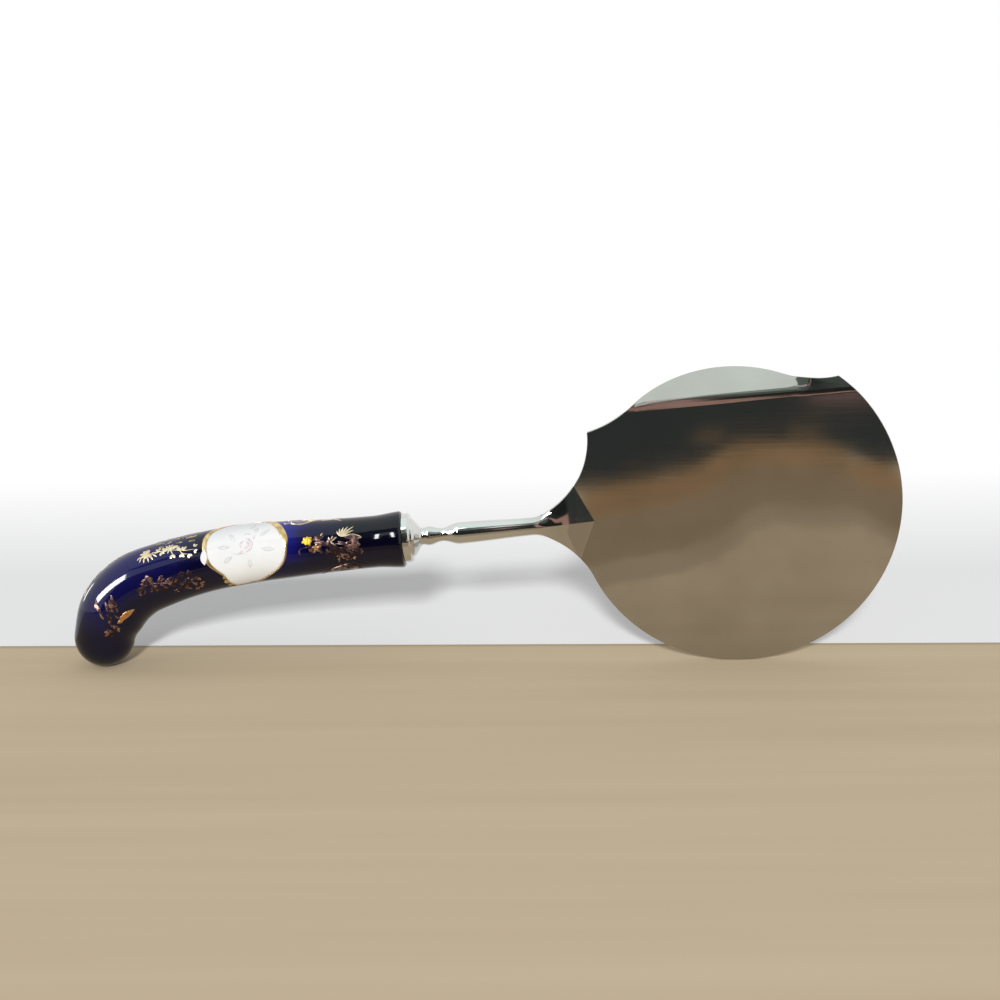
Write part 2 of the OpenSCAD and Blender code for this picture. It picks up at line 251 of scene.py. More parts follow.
# %% Helpers for materials
def start_material(name, **sockets):
    material = bpy.data.materials.new(name)
    material.use_nodes = True
    shader = material.node_tree.nodes["Principled BSDF"]
    for key, value in sockets.items():
        shader.inputs[key.replace("_", " ")].default_value = value
    return material, shader


def add(owner, kind, sockets=None, **settings):
    """Adds a node to the owner's tree; the owner is that tree, or a node or socket in it."""
    tree = owner.id_data
    node = tree.nodes.new("ShaderNode" + kind)
    for key, value in settings.items():
        setattr(node, key, value)
    for key, value in (sockets or {}).items():
        if isinstance(value, bpy.types.NodeSocket):
            tree.links.new(value, node.inputs[key])
        else:
            node.inputs[key].default_value = value
    return node


def object_axis(owner, axis):
    """A point's place along one of the object's own axes, in metres."""
    place = add(owner, "TexCoord").outputs["Object"]
    return add(owner, "SeparateXYZ", {"Vector": place}).outputs[axis]


def grain(owner, scale, turn=(0, 0, 0), detail=3, rough=0.5):
    """Noise on object coordinates; scale is in cycles per metre, all round or along x, y and z."""
    cycles = scale if isinstance(scale, tuple) else (scale,) * 3
    place = add(owner, "TexCoord").outputs["Object"]
    spread = add(owner, "Mapping", {"Vector": place, "Rotation": turn, "Scale": cycles})
    return add(owner, "TexNoise", {
        "Vector": spread.outputs["Vector"], "Scale": 1, "Detail": detail, "Roughness": rough}).outputs["Fac"]


def between(value, low, high, to_low=0, to_high=1):
    return add(value, "MapRange", {
        "Value": value, "From Min": low, "From Max": high,
        "To Min": to_low, "To Max": to_high}).outputs["Result"]


def blend_colours(share, first, second):
    first, second = (c if isinstance(c, bpy.types.NodeSocket) else (*c, 1) for c in (first, second))
    return add(share, "Mix", {"Factor": share, 6: first, 7: second}, data_type="RGBA").outputs[2]


def feed(shader, key, socket):
    shader.id_data.links.new(socket, shader.inputs[key])


def two_tone(shader, noise, low, high, first, second):
    """Colours a surface by a noise: the first colour up to low, the second from high on."""
    feed(shader, "Base Color", blend_colours(between(noise, low, high), first, second))


def uneven_gloss(shader, noise, low, high, smooth, rough):
    feed(shader, "Roughness", between(noise, low, high, smooth, rough))


def press(shader, height, depth, strength):
    bump = add(shader, "Bump", {"Height": height, "Distance": depth, "Strength": strength})
    feed(shader, "Normal", bump.outputs["Normal"])


# %% [markdown]
# ## Board and sheet
# The server stands on a plain pale board with a white sheet behind it. Each is one large face. The board has
# faint streaks along its length and a darker line of painted shade where it ends. Neither has any gloss, so
# that the cards below leave no mark on them, and the sheet turns into pure white at the back, beyond the shadow.

# %% Board and sheet
stage_half, board_front, sheet_end = 12, -2.2, 30
board_back, board_slant, seam_w = 17 * mm, -0.017, 3 * mm
planed_light, planed_dark, seam_shade_brown = (0.645, 0.533, 0.375), (0.6, 0.49, 0.333), (0.42, 0.333, 0.22)
paper_white, fade_from, fade_to = (0.965, 0.97, 0.975, 1), 0.1, 0.25


def flat_sheet(name, y0, y1, material):
    """A level face across the stage; the edge between board and sheet turns a little, as in the picture."""
    clear_bench()
    bpy.ops.mesh.primitive_plane_add(size=1, location=(0, (y0 + y1) / 2, 0))
    sheet = named(name)
    sheet.scale = (2 * stage_half, y1 - y0, 1)
    settle()
    for v in sheet.data.vertices:
        if abs(v.co.y - board_back) < 1 * mm:
            v.co.y += board_slant * v.co.x
    sheet.data.materials.append(material)


wood, shader = start_material("board", Roughness=0.9, Specular_IOR_Level=0)
behind = add(shader, "Math", {
    0: object_axis(shader, "X"), 1: -board_slant, 2: object_axis(shader, "Y")}, operation="MULTIPLY_ADD").outputs[0]
streaks = between(grain(shader, (3, 60, 1), detail=4), 0.3, 0.7)
planed = blend_colours(streaks, planed_light, planed_dark)
# Painted shade: the board darkens to a brown line along its back edge.
seam_shade_share = between(behind, board_back - seam_w, board_back)
feed(shader, "Base Color", blend_colours(seam_shade_share, planed, seam_shade_brown))
flat_sheet("pale_board", board_front, board_back, wood)

paper, shader = start_material("paper", Base_Color=paper_white, Roughness=0.9, Specular_IOR_Level=0)
white = add(shader, "Emission", {"Color": (1, 1, 1, 1), "Strength": 1})
fade = add(shader, "MixShader", {
    0: between(object_axis(shader, "Y"), fade_from, fade_to), 1: shader.outputs[0], 2: white.outputs[0]})
feed(paper.node_tree.nodes["Material Output"], "Surface", fade.outputs[0])
flat_sheet("white_sheet", board_back, sheet_end, paper)
print("board and sheet meet", round(board_back / mm), "mm behind the server's middle")

# %% [markdown]
# ## What the steel mirrors
# A polished blade shows whatever lies before it, so a photographer puts cards there, out of the camera's
# sight. A dark card lies beyond the board's front, with warm strips along its near edge: the blade turns them
# into its dark band and the brown below it. Upright cards across the room and a ceiling that glows fill the
# raised edge. Only reflections see the cards, so they throw no shadow and no light on anything else.

# %% A card
card_steps = 160


def flag(name, x0, x1, corner, colour, **glow):
    """A card that only reflections see; corner gives the point for a place across and up the card."""
    clear_bench()
    bpy.ops.mesh.primitive_grid_add(x_subdivisions=card_steps, y_subdivisions=1, size=2)
    card = named(name)
    for v in card.data.vertices:
        v.co = corner(x0 + (x1 - x0) * (v.co.x + 1) / 2, (v.co.y + 1) / 2)
    card.data.materials.append(start_material(name, Base_Color=(*colour, 1), Roughness=0.9, **glow)[0])
    card.visible_camera = card.visible_diffuse = card.visible_shadow = card.visible_transmission = False
    print("card", name)


# %% Cards on the floor
flag_half, flag_far = 1.6, -1.6
low_edge = [
    (0.0323, 0.224), (0.0477, 0.236), (0.0642, 0.2445), (0.0761, 0.259), (0.0881, 0.278), (0.0954, 0.302),
    (0.1079, 0.316), (0.1193, 0.309), (0.1368, 0.310), (0.1447, 0.295), (0.1495, 0.272), (0.1628, 0.2635)]
slate, tan, ochre = (0.016, 0.025, 0.027), (0.42, 0.262, 0.124), (0.36, 0.275, 0.17)
pale_ochre, umber, dusk_brown = (0.47, 0.378, 0.252), (0.26, 0.17, 0.087), (0.26, 0.165, 0.15)


def lying(from_edge, to_edge):
    """Just above the board, between two distances from the dark card's near edge."""
    return lambda x, up: (x, -flowing(low_edge, x) - from_edge - (to_edge - from_edge) * up, 1 * mm)


def smear(near, far):
    """Just above the dark card, between two distances in front of the server."""
    return lambda x, up: (x, -near - (far - near) * up, 2 * mm)


flag("low_flag", -flag_half, flag_half, lying(0, -flag_far), slate)
flag("warm_strip", 0.03, 0.165, lying(-0.05, 0), tan)
flag("ochre_strip", -0.2, 0.3, lying(-0.12, -0.05), ochre)
flag("pale_strip", -0.2, 0.3, lying(-0.15, -0.12), pale_ochre)
flag("umber_line", 0.03, 0.1, lying(-0.039, -0.033), umber)
flag("dusk_patch", 0.145, 0.18, smear(0.4, 0.46), dusk_brown)
for i in range(3):
    left, right = 0.309 + 0.011 * i, 0.312 + 0.013 * i
    flag("left_smear", 0.079 + 0.003 * i, 0.094 + 0.002 * i, smear(left, left + 0.005), umber)
    flag("right_smear", 0.124 + 0.002 * i, 0.138 + 0.003 * i, smear(right, right + 0.005), umber)

# %% Cards across the room and the ceiling
coal, rose_dusk, deep_moss = (0.014, 0.018, 0.019), (0.8, 0.54, 0.52), (0.15, 0.21, 0.19)
moss, far_moss, ceiling_light = (0.45, 0.6, 0.54), (0.2, 0.27, 0.245), (0.87, 1, 0.985, 1)
far_left, edge_left, gap_left, blade_left = -3, -0.13, -0.055, -0.02
card_places = (blade_left, 0.1, 0.23)
far_bottom = [(far_left, 3), (-1.6, 2.4), (-0.98, 1.9), (-0.68, 1.3), (edge_left, 1)]
far_height, ceiling_depth = 1.6, 3.2


def even(height):
    return (height,) * len(card_places)


def upright(low, high):
    """Across the room, with heights at the left, middle and right of what the blade mirrors."""
    def corner(x, up):
        bottom, top = (flowing(list(zip(card_places, heights)), x) for heights in (low, high))
        return x, flag_far, bottom + (top - bottom) * up
    return corner


on_floor, foot, dusk = even(0), (0.45, 0, 0), (1.75, 0.7, 0.2)
dark, deep, high_room = (2.0, 1.2, 0.95), (2.5, 1.9, 1.4), even(3.4)
for name, start, end, low, high, colour in (
        ("left_flag", -flag_half, gap_left, on_floor, even(1.2), slate),
        ("edge_flag", edge_left, gap_left, even(1.2), even(1.3), slate),
        ("gap_flag", gap_left, blade_left, on_floor, dusk, slate),
        ("foot_flag", blade_left, flag_half, on_floor, foot, slate),
        ("dusk_flag", blade_left, flag_half, foot, dusk, rose_dusk),
        ("coal_flag", gap_left, flag_half, dusk, dark, coal),
        ("deep_moss_flag", gap_left, flag_half, dark, deep, deep_moss),
        ("moss_flag", gap_left, flag_half, deep, high_room, moss)):
    flag(name, start, end, upright(low, high), colour)
flag("far_flag", far_left, edge_left,
     lambda x, up: (x, flag_far, flowing(far_bottom, x) + far_height * up), far_moss)
# The ceiling glows, so that the raised edge mirrors it bright.
flag("pale_ceiling", far_left, flag_half,
     lambda x, up: (x, flag_far + ceiling_depth * up, high_room[0]), (0, 0, 0),
     Emission_Color=ceiling_light, Emission_Strength=1.12)

# %% [markdown]
# ## Lamps and world
# One large lamp in front, a little above the level, lights the server and throws its soft shadow on the sheet,
# and a pale world fills the shade. Glaze and turned steel also mirror the windows of a room as crisp white
# spots. Four small lamps draw those: they shine in reflections only, and on their own pieces only.

# %% Lamps
def towards(turn, height):
    """The direction at a turn from the front, in degrees to the right, and a height above the level."""
    a, e = radians(turn), radians(height)
    return Vector((sin(a) * cos(e), -cos(a) * cos(e), sin(e)))


def lamp(name, seen_from, start, end, width, watts, away=1, mirrored=True):
    """A lamp that reaches from one direction to another, as seen from a point; mirrored lamps only shine in
    reflections, and the others only light surfaces."""
    middle = (start + end).normalized()
    along = (end - start).normalized()
    along = (along - along.dot(middle) * middle).normalized()
    bpy.ops.object.light_add(type="AREA")
    light = named(name)
    turn = Matrix((along, middle.cross(along), middle)).transposed().to_4x4()
    light.matrix_world = Matrix.Translation(seen_from + away * middle) @ turn
    light.data.shape, light.data.energy = "RECTANGLE", watts
    light.data.size, light.data.size_y = away * (end - start).length, away * width
    light.visible_diffuse, light.visible_glossy = not mirrored, mirrored
    return light


handle_mouth = stand @ Vector((-5 * mm, 0, 0))
handle_bend = stand @ Vector((-90 * mm, 0, -10 * mm))
lamp("key_lamp", handle_mouth, towards(-3, 24), towards(3, 24), width=0.1, watts=310, away=6, mirrored=False)
shine_lamps = [
    lamp("mouth_spot", handle_mouth, towards(-18.5, 24), towards(-26, 42), width=0.06, watts=2),
    lamp("window_strip", handle_bend, towards(-46.5, 34), towards(-67, 13), width=0.26, watts=14),
    lamp("back_window", handle_bend, towards(-121, 3), towards(-130, 11), width=0.1, watts=0.5)]
stem_lamp = lamp("stem_window", handle_mouth, towards(-57, 48), towards(-19, 48), width=0.5, watts=3)
print("lamps:", len(shine_lamps) + 2)

# %% World
room_level, backdrop_level = 0.45, 1
world = bpy.data.worlds.new("bright_room")
bpy.context.scene.world = world
world.use_nodes = True
sky = world.node_tree
sky.nodes.clear()
rays = add(sky, "LightPath")
room, backdrop = (
    add(sky, "Background", {"Color": (1, 1, 1, 1), "Strength": strength}).outputs[0]
    for strength in (room_level, backdrop_level))
seen = add(sky, "Math", {
    0: rays.outputs["Is Camera Ray"], 1: rays.outputs["Is Glossy Ray"]}, operation="MAXIMUM")
chosen = add(sky, "MixShader", {0: seen.outputs[0], 1: room, 2: backdrop})
add(sky, "OutputWorld", {"Surface": chosen.outputs[0]})
print("world strength", room_level)

# %% [markdown]
# ## Steel
# The blade was polished along its length with a fine belt, so its faint lines run with the stem and blur
# what it mirrors up and down. The stem and the ferrule were polished on a wheel and are brighter; the palm
# was finished together with the blade and takes on its tone.

# %% Steel finishes
def polished_steel(name, bright, worn, rough, along, across, depth):
    """Steel with polishing lines; along and across are their cycles per metre."""
    material, shader = start_material(name, Metallic=1.0)
    lines = grain(shader, (along, across, across), (0, tilt, 0), 4, 0.6)
    clouds = grain(shader, 45, detail=4)
    two_tone(shader, clouds, 0.35, 0.7, bright, worn)
    uneven = add(shader, "Math", {0: lines, 1: clouds}, operation="MULTIPLY").outputs[0]
    uneven_gloss(shader, uneven, 0.1, 0.45, *rough)
    press(shader, lines, depth, 0.35)
    return material, shader


blade_bright, blade_worn = (0.52, 0.49, 0.455), (0.46, 0.43, 0.395)
turned_bright, turned_worn = (0.70, 0.70, 0.675), (0.62, 0.615, 0.59)
palm_tone_from, palm_tone_to = 12 * mm, 24 * mm
blade_steel = polished_steel("blade_steel", blade_bright, blade_worn, (0.045, 0.12), 35, 2600, 0.006 * mm)[0]
bright_steel, shader = polished_steel(
    "bright_steel", turned_bright, turned_worn, (0.04, 0.12), 120, 900, 0.004 * mm)
turned_tone = shader.inputs["Base Color"].links[0].from_socket
palm_share = between(object_axis(shader, "X"), palm_tone_from, palm_tone_to)
feed(shader, "Base Color", blend_colours(palm_share, turned_tone, blade_bright))

# %% [markdown]
# ## Blade
# The blade is a stamped sheet with a neck, two horns and a lobed edge that is bent up. Its solid already
# has that form, so the piece is a copy of it: the loose triangles are merged, flat neighbours are joined
# to large faces that mirror cleanly, and the cut edge gets the small round that a polishing belt leaves.

# %% Copy of a solid
weld_gap = 0.001 * mm


def copy_of(node, name):
    only(frame["nodes"][node])
    bpy.ops.object.duplicate()
    bpy.ops.object.parent_clear(type="CLEAR_KEEP_TRANSFORM")
    obj = named(name)
    for tag in [key for key in obj.keys() if key.startswith("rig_")]:
        del obj[tag]
    edit_all()
    bpy.ops.mesh.remove_doubles(threshold=weld_gap)
    bpy.ops.mesh.customdata_custom_splitnormals_clear()
    close_edit()
    return obj


def smooth_faces(obj, degrees):
    only(obj)
    bpy.ops.object.shade_smooth_by_angle(angle=radians(degrees))
    apply_modifier(obj, "WEIGHTED_NORMAL", keep_sharp=True, weight=100)


# %% Blade piece
palm_tip, palm_half = 59.5, 13
rim_round, cut_angle = 0.22 * mm, radians(55)
blade = copy_of("blade", "blade_sheet")
edit_all()
bpy.ops.mesh.dissolve_limited(angle_limit=radians(0.3))
bpy.ops.mesh.select_mode(type="EDGE")
bpy.ops.mesh.select_all(action="DESELECT")
bpy.ops.mesh.edges_select_sharp(sharpness=cut_angle)
close_edit()
cut_edges = {edge.index for edge in blade.data.edges if edge.select}


def on_rim(edge):
    """A cut edge of the sheet, away from the stepped tongue inside the palm."""
    spots = [to_bench @ blade.data.vertices[i].co for i in edge.vertices]
    near_palm = any(p.x < (palm_tip + 1) * mm and abs(p.z) < palm_half * mm for p in spots)
    return edge.index in cut_edges and not near_palm


bpy.ops.object.mode_set(mode="EDIT")
rim_edges = select_where(blade, "EDGE", on_rim)
bpy.ops.mesh.bevel(offset=rim_round, segments=3, affect="EDGES", clamp_overlap=False)
smooth_faces(blade, 40)
hand_over(blade, blade_steel, "blade_steel", "blade")
print("rim edges rounded:", rim_edges)

# %% [markdown]
# ## Stem
# On the real server the stem was turned on a lathe and its front end forged into a palm. The turned part
# is a profile spun round the axis, with many points so that its reflections flow. The palm carries on from
# the same ring of points: each section along it is a little less round and a little more of a flat diamond,
# as the smith drew it out, until a crisp ridge stands between two facets. Then the slit is cut.

# %% Spinning a profile
def spun(name, profile, sides):
    """Turns a profile of (x, radius) points in millimetres round the stem's axis."""
    clear_bench()
    bpy.ops.mesh.primitive_plane_add(size=1 * mm)
    obj = named(name)
    edit_all()
    bpy.ops.mesh.select_mode(type="VERT")
    bpy.ops.mesh.merge(type="CENTER")
    first_x, first_r = profile[0]
    bpy.ops.transform.translate(value=(first_x * mm, 0, first_r * mm))
    for (x0, r0), (x1, r1) in zip(profile, profile[1:]):
        bpy.ops.mesh.extrude_vertices_move(
            TRANSFORM_OT_translate={"value": ((x1 - x0) * mm, 0, (r1 - r0) * mm)})
    bpy.ops.mesh.select_all(action="SELECT")
    bpy.ops.mesh.spin(steps=sides, angle=2 * pi, center=(0, 0, 0), axis=(1, 0, 0))
    bpy.ops.mesh.select_all(action="SELECT")
    bpy.ops.mesh.remove_doubles(threshold=weld_gap)
    close_outwards()
    return obj


def in_steps(a, b, count):
    return [a + (b - a) * i / count for i in range(count)]


# %% Turned part of the stem
ferrule_len, cone_tip_r, shank_end, shank_r = 6, 2.6, 42, 2.75
tang_r, tang_len = 1.9, 60
groove_r, groove_w, groove_pitch, groove_count = 1.4, 2, 8, 4
joint_x = 38
stem_stations = [(ferrule_len, cone_tip_r), (7.8, 2.95), (12, 2.05), (17.5, 3.4), (shank_end, shank_r)]
tang_profile = [(-tang_len, 0), (-tang_len, tang_r)]
for i in range(1, groove_count + 1):
    start = i * groove_pitch - tang_len
    end = start + groove_w
    tang_profile += [(start, tang_r), (start, groove_r), (end, groove_r), (end, tang_r)]
tang_profile += [(ferrule_len, tang_r)]
turned_xs = [x for a, b in zip(stem_stations, stem_stations[1:]) for x in in_steps(a[0], b[0], 14)]
turned_profile = [(x, flowing(stem_stations, x)) for x in turned_xs + [joint_x] if x <= joint_x]
stem_sides = 64
stem = spun("stem_turned", tang_profile + turned_profile, stem_sides)

# %% Outline of the palm
neck_hollow_r, neck_half = 27, 1.1
hollow_z = neck_half + neck_hollow_r
hollow_x = blade_reach - math.sqrt((blade_r + neck_hollow_r) ** 2 - (blade_rise + hollow_z) ** 2)
flare_from, flare_to, palm_sweep, palm_corner, palm_lap = 40, 46, 6, 54.15, 0.02


def neck_edge(x):
    return hollow_z - math.sqrt(neck_hollow_r ** 2 - (x - hollow_x) ** 2)


def palm_width(x):
    """Half the width: the shank flows into the neck's hollows, and two edges run to the tip."""
    if x <= flare_from:
        return flowing(stem_stations, x)
    if x >= flare_to:
        return min(neck_edge(x), palm_half * (palm_tip - x) / palm_sweep) + palm_lap
    t, span = (x - flare_from) / (flare_to - flare_from), flare_to - flare_from
    end, slope = neck_edge(flare_to) + palm_lap, (neck_edge(flare_to) - neck_edge(flare_to - 0.01)) / 0.01
    start = flowing(stem_stations, flare_from)
    return start + (end - start) * t * t * (3 - 2 * t) + slope * span * t * t * (t - 1)


def palm_ridge(x):
    """Half the thickness at the ridge, which thins out to the sheet at the tip."""
    start = flowing(stem_stations, min(x, flare_from))
    t, ease = max(0, (x - flare_from) / (palm_tip - flare_from)), 0.25
    fall = t * t / (2 * ease) if t < ease else t - ease / 2
    return start + (blade_t / 2 - start) * fall / (1 - ease / 2)


# %% Palm of the stem
palm_end, palm_weld = palm_tip - 0.05, 0.004 * mm
palm_xs = in_steps(joint_x, palm_corner, 40) + in_steps(palm_corner, palm_end, 16) + [palm_end]
half_turn = stem_sides // 2
columns = 2 * (half_turn + 1)
clear_bench()
bpy.ops.mesh.primitive_grid_add(x_subdivisions=len(palm_xs) - 1, y_subdivisions=columns, size=2)
palm = named("stem_palm")
for v in palm.data.vertices:
    x = palm_xs[round((v.co.x + 1) / 2 * (len(palm_xs) - 1))]
    column = round((v.co.y + 1) / 2 * columns) % columns
    front = column <= half_turn
    a = pi * (column if front else column - half_turn - 1) / half_turn + (0 if front else pi)
    flat = flowing([(flare_from, 0), (flare_to + 1.5, 1)], x)
    power = 2 / (2 - flat)
    edge = flat * blade_t / 2
    deep = edge + (palm_ridge(x) - edge) * abs(sin(a)) ** power
    across = palm_width(x) * abs(cos(a)) ** power
    v.co = Vector((x, -deep if front else deep, math.copysign(across, cos(a)))) * mm

only(stem)
palm.select_set(True)
bpy.ops.object.join()
stem = named("stem_turned")
edit_all()
bpy.ops.mesh.remove_doubles(threshold=palm_weld)
select_where(stem, "VERT", lambda v: v.co.x > (palm_end - 0.01) * mm)
bpy.ops.mesh.edge_face_add()
close_outwards()

# %% Slit and ridge
slit_x, slit_t, slit_len, slit_high = 43, 1.1, 20, 30
clear_bench()
bpy.ops.mesh.primitive_cube_add(size=1, location=((slit_x + slit_len / 2) * mm, 0, 0))
slit = named("slit")
slit.scale = (slit_len * mm, slit_t * mm, slit_high * mm)
settle()
apply_modifier(stem, "BOOLEAN", object=slit, operation="DIFFERENCE", solver="EXACT")
bpy.data.objects.remove(slit)
only(stem)
bpy.ops.object.mode_set(mode="EDIT")


def on_ridge(edge):
    ends = [stem.data.vertices[i].co for i in edge.vertices]
    return all(abs(p.z) < 0.01 * mm and abs(p.y) > slit_t * mm / 2 and p.x > flare_to * mm for p in ends)


print("ridge edges:", select_where(stem, "EDGE", on_ridge))
bpy.ops.mesh.mark_sharp()
close_edit()
stand_up(stem)
smooth_faces(stem, 35)
hand_over(stem, bright_steel, "bright_steel", "stem")

# %% [markdown]
# ## Ferrule
# The ferrule closes the mouth of the handle: a disc with a rounded rim, a hollow throat and a short cone
# that runs out to the bead of the stem. It is a turned piece too, so its profile is spun in one go.

# %% Ferrule piece
disc_r, disc_t, disc_round, disc_edge, cone_base_r = 7.7, 2.6, 1.1, 0.15, 6
spigot_len, spigot_gap, bore_r = 4, 0.3, tang_r + 0.05
spigot_r = flowing(grip_stations, spigot_len) - wall_t - mouth_drop - spigot_gap
rim_arc = [(disc_t - disc_round + disc_round * sin(a), disc_r - disc_round + disc_round * cos(a))
           for a in in_steps(0, pi / 2, 8)]
cone_stations = [(disc_t, cone_base_r), (ferrule_len, cone_tip_r)]
cone = [(x, flowing(cone_stations, x)) for x in in_steps(disc_t, ferrule_len, 10)]
ferrule = spun("ferrule_disc", [
    (-spigot_len, bore_r), (-spigot_len, spigot_r), (0, spigot_r), (0, disc_r - disc_edge), (disc_edge, disc_r),
    *rim_arc, (disc_t, disc_r - disc_round), *cone,
    (ferrule_len, cone_tip_r), (ferrule_len, bore_r), (-spigot_len, bore_r)], 72)
stand_up(ferrule)
smooth_faces(ferrule, 35)
hand_over(ferrule, bright_steel, "bright_steel", "ferrule")

# %% [markdown]
# ## Glazed handle
# The handle was slip-cast: liquid clay set in a mould, which leaves a hollow shell with a wall of even
# thickness. A ring is drawn along the middle line, from the inside of the butt out through the mouth and
# back over the outside, so that one closed skin makes both faces of the wall.

# %% Rings of the handle
grip_sides = 72


def ring_at(s, radius, push=0):
    """Centre, turn and radius of one ring, pushed beyond s along the middle line."""
    h = heading(min(s, grip_len))
    x, z = middle_line(min(s, grip_len))
    return Vector((x - push * cos(h), 0, z - push * sin(h))) * mm, h, radius * mm


def cap(radius, count):
    angles = [pi / 2 * i / count for i in range(1, count)]
    return [ring_at(grip_len, radius * cos(a), radius * sin(a)) for a in angles]


inner = [ring_at(s, flowing(grip_stations, s) - wall_t) for s in in_steps(spigot_len, grip_len, 24)]
inner += [ring_at(grip_len, butt_r - wall_t)] + cap(butt_r - wall_t, 6)
mouth_rim = [ring_at(mouth_round * (1 - cos(a)), mouth_r - mouth_round * (1 - sin(a)))
             for a in in_steps(0, pi / 2, 7)]
outer = [ring_at(s, flowing(grip_stations, s)) for s in in_steps(mouth_round, grip_len, 84)]
outer += [ring_at(grip_len, butt_r)] + cap(butt_r, 12)
rings = inner[::-1] + [ring_at(0, mouth_r - wall_t)] + mouth_rim + outer

clear_bench()
centre, h, radius = rings[0]
bpy.ops.mesh.primitive_circle_add(
    vertices=grip_sides, radius=radius, location=centre, rotation=(0, pi / 2 - h, 0))
handle = named("handle_glazed")
settle()
edit_all()
for (c0, h0, r0), (c1, h1, r1) in zip(rings, rings[1:]):
    bpy.ops.mesh.extrude_region_move(TRANSFORM_OT_translate={"value": c1 - c0})
    bpy.ops.transform.resize(value=(r1 / r0,) * 3, center_override=c1)
    if abs(h1 - h0) > 1e-9:
        bpy.ops.transform.rotate(value=h1 - h0, orient_axis="Y", center_override=c1)

# %% Closing the two poles
def draw_to_pole(ring, radius):
    """Draws the selected last ring on to the pole of its round end."""
    step = ring_at(grip_len, 1, radius)[0] - ring[0]
    bpy.ops.mesh.extrude_region_move(TRANSFORM_OT_translate={"value": step})
    bpy.ops.mesh.merge(type="CENTER")


draw_to_pole(rings[-1], butt_r)
select_where(handle, "VERT", lambda v: v.index < grip_sides)
draw_to_pole(rings[0], butt_r - wall_t)
close_outwards()
stand_up(handle)
only(handle)
bpy.ops.object.shade_smooth_by_angle(angle=radians(40))
low, high = handle.bound_box[0], handle.bound_box[6]
print("handle box", [round((b - a) / mm, 2) for a, b in zip(low, high)],
      "solid's box", [round(v / mm, 2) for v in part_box("handle")[1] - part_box("handle")[0]])

# %% [markdown]
# ## Cobalt glaze
# Cobalt under a clear glaze is almost black in the shade and a deep violet blue where light reaches it.
# That shade is also painted into the colour: the blue falls to near black towards the underside, so the
# handle carries its own height on the grip as an attribute. In the butt the height above the board takes
# over, and the painted shade darkens it near the board. Along the handle the blue also changes, brighter in
# some stretches and nearly black at both ends. The surface has the slight ripple of glaze.

# %% Height on the grip, for the painted shade
line_steps = [grip_len * i / 400 for i in range(401)]
line_points = [Vector(middle_line(s)) for s in line_steps]
butt_shade = 15
painted_shade_height = handle.data.attributes.new("painted_shade_height", "FLOAT", "POINT")
for i, v in enumerate(handle.data.vertices):
    p = to_bench @ v.co / mm
    flat = Vector((p.x, p.z))
    nearest = min(range(len(line_points)), key=lambda k: (line_points[k] - flat).length_squared)
    h = heading(line_steps[nearest])
    across = flat - line_points[nearest]
    above_middle = (across.y * cos(h) - across.x * sin(h)) / butt_r
    painted_shade_height.data[i].value = min(above_middle, (v.co.z / mm - butt_shade) / butt_r)

# %% Glaze finish
def glaze_surface(shader, smooth, rough, ripple):
    uneven_gloss(shader, grain(shader, 260), 0.3, 0.7, smooth, rough)
    press(shader, grain(shader, 180, detail=1), 0.03 * mm, ripple)


painted_shade_cobalt = (0.0012, 0.001, 0.009)
cobalt, shader = start_material("cobalt_glaze", IOR=1.5, Specular_IOR_Level=0.36)
wander = between(grain(shader, 60), 0, 1, -8 * mm, 8 * mm)
along = add(shader, "Math", {0: object_axis(shader, "X"), 1: wander}, operation="ADD").outputs[0]
# The blue changes along the handle: bright stretches near the butt and just past the reserve towards the mouth,
# darker between them and nearly black at both ends.
thickness = add(shader, "ValToRGB", {
    "Fac": between(along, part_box("handle")[0].x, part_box("handle")[1].x)})
glaze_tones = [(0, (0.0015, 0.0012, 0.01)), (0.14, (0.007, 0.007, 0.085)), (0.32, (0.005, 0.005, 0.072)),
               (0.42, (0.0018, 0.0015, 0.019)), (0.655, (0.014, 0.014, 0.28)), (0.735, (0.003, 0.003, 0.042)),
               (0.82, (0.0012, 0.0012, 0.007)), (1, (0.0012, 0.0012, 0.004))]
tones = thickness.color_ramp.elements
while len(tones) < len(glaze_tones):
    tones.new(0.5)
for tone, (at, colour) in zip(tones, glaze_tones):
    tone.position, tone.color = at, (*colour, 1)
# Painted shade: the blue goes to near black towards the underside, and in the butt near the board.
height = add(shader, "Attribute", attribute_name="painted_shade_height").outputs["Fac"]
painted_light_share = between(height, -0.3, 0.85, 0.06, 1)
feed(shader, "Base Color", blend_colours(painted_light_share, painted_shade_cobalt, thickness.outputs["Color"]))
glaze_surface(shader, 0.04, 0.09, 0.2)
hand_over(handle, cobalt, "porcelain", "handle")

# %% [markdown]
# ## Laying decoration on the grip
# The painter worked on the curved handle. Here each ornament is first drawn flat, on a sheet whose x runs
# along the handle (the mouth is at 0 and the butt at minus 107 mm) and whose y runs round it, with the
# middle of the front at 0. This helper then wraps the flat drawing onto the glaze.

# %% Wrapping a flat drawing
def on_grip(x, y, lift):
    """The bench point over the glaze for a point of the flat drawing, all in millimetres."""
    s = min(-x, grip_len)
    over = max(0, -x - grip_len) / butt_r
    radius, h = flowing(grip_stations, s), heading(s)
    centre_x, centre_z = middle_line(s)
    round_it = y / radius
    out = Vector((-sin(h) * sin(round_it), -cos(round_it), cos(h) * sin(round_it)))
    back = Vector((-cos(h), 0, -sin(h)))
    normal = cos(over) * out + sin(over) * back
    return Vector((centre_x, 0, centre_z)) + (radius + lift) * normal


